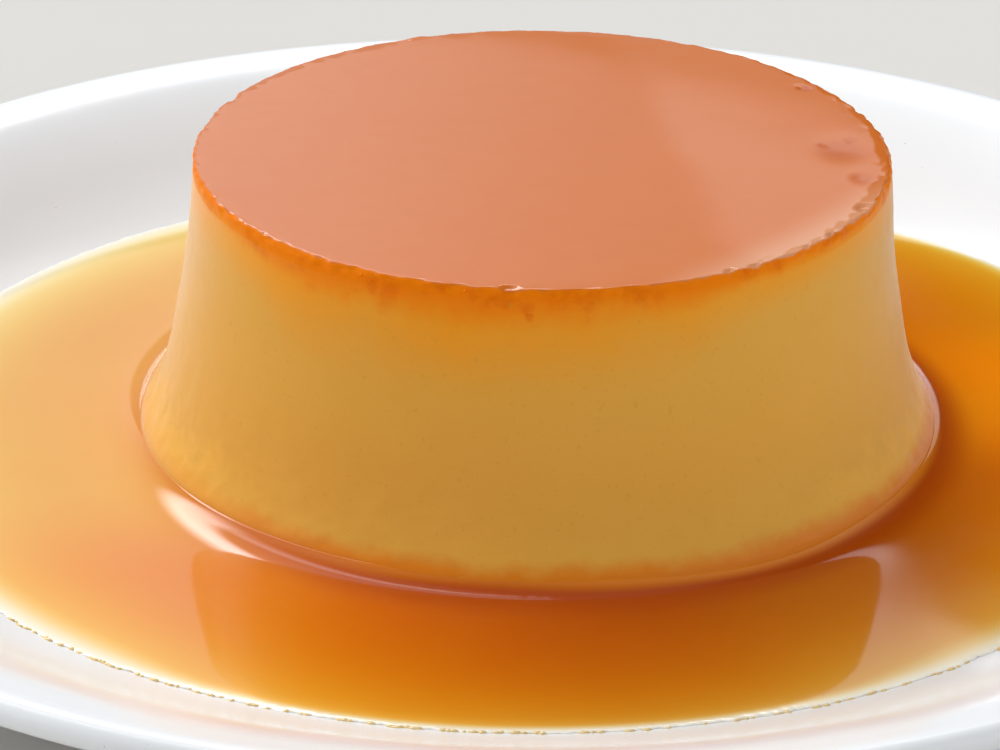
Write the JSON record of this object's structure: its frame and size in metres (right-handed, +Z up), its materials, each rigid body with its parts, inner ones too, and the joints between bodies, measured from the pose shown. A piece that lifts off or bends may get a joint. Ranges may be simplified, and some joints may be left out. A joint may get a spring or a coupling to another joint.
{
  "type": "creme caramel on a plate",
  "caption": "Creme caramel turned out on a round white plate: a low drum of pale custard with a glossy caramel layer on top, standing in a pool of thin caramel.",
  "frame": {"origin": "on the table, under the middle of the plate, at the bottom of its foot ring", "axes": "+Z up; +X to the right and -Y towards the person facing the plate; the flan stands 1.5 mm to the right of the plate's middle"},
  "size_m": [0.2004, 0.2004, 0.0452],
  "materials": {
    "porcelain": "gloss",
    "caramel": "gloss",
    "custard": "satin",
    "caramel_layer": "gloss"
  },
  "bodies": {
    "root": {"plate": "porcelain", "caramel_pool": "caramel", "custard": "custard", "caramel_top": "caramel_layer"}
  },
  "joints": []
}
